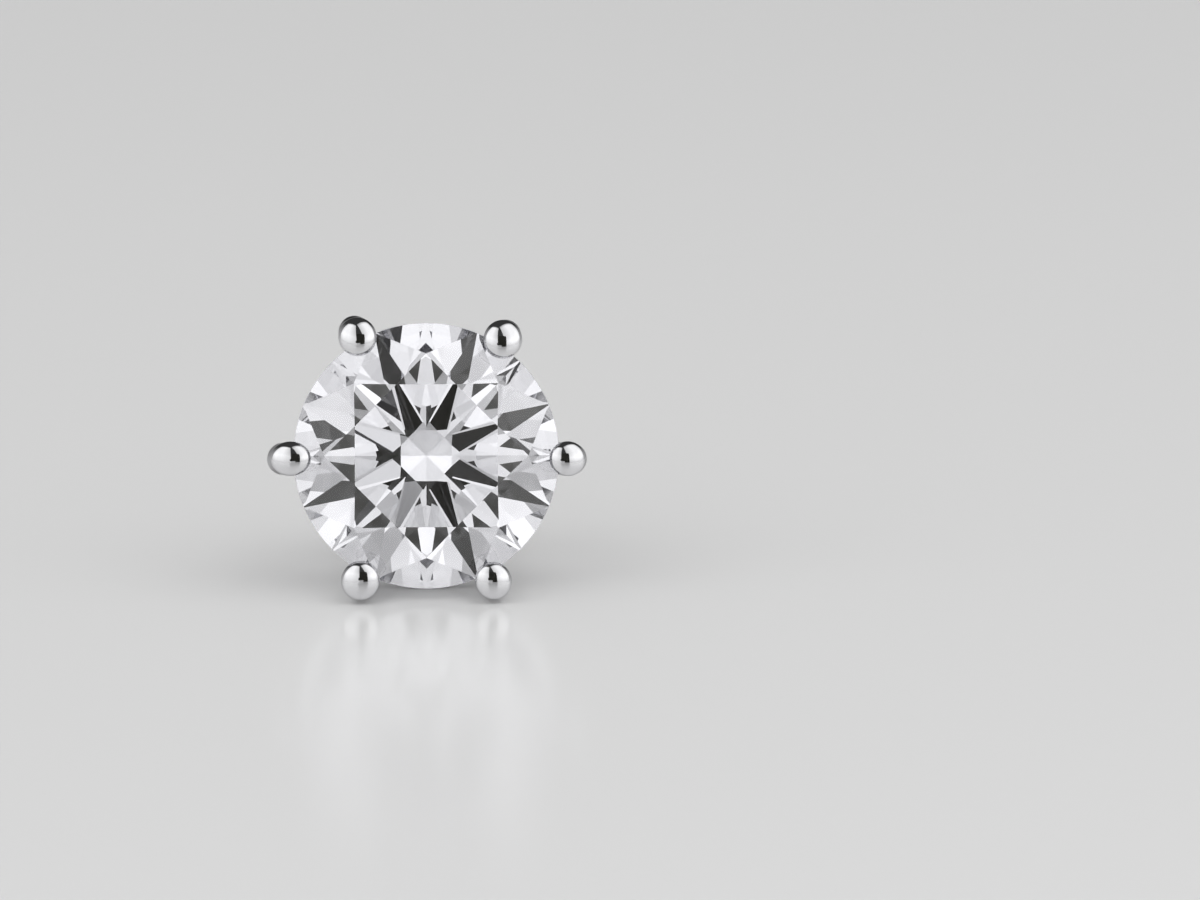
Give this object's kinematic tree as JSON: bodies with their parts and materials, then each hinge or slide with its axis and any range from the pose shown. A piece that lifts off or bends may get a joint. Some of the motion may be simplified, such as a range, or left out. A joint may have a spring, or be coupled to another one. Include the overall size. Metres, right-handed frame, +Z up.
{
  "type": "stud earring",
  "caption": "Solitaire stud earring: a round brilliant-cut clear stone held by round-tipped prongs of a white metal wire basket, with a flat round base and a straight ear post.",
  "frame": {"origin": "middle of the stud's box, on the surface that it lies on", "axes": "+X to the right as the stone is seen from the front, +Y back towards the end of the post, +Z up; the stone faces -Y and 12.8 degrees up, as the stud lies on its two lower prongs and the end of its post"},
  "size_m": [0.0078, 0.015, 0.0069],
  "materials": {
    "stone": "polished colourless diamond",
    "setting": "rhodium-plated white gold, mirror polish",
    "ear_post": "rhodium-plated white gold, drawn and polished"
  },
  "bodies": {
    "root": {"stone": "stone", "setting": "setting", "ear_post": "ear_post"}
  },
  "joints": []
}
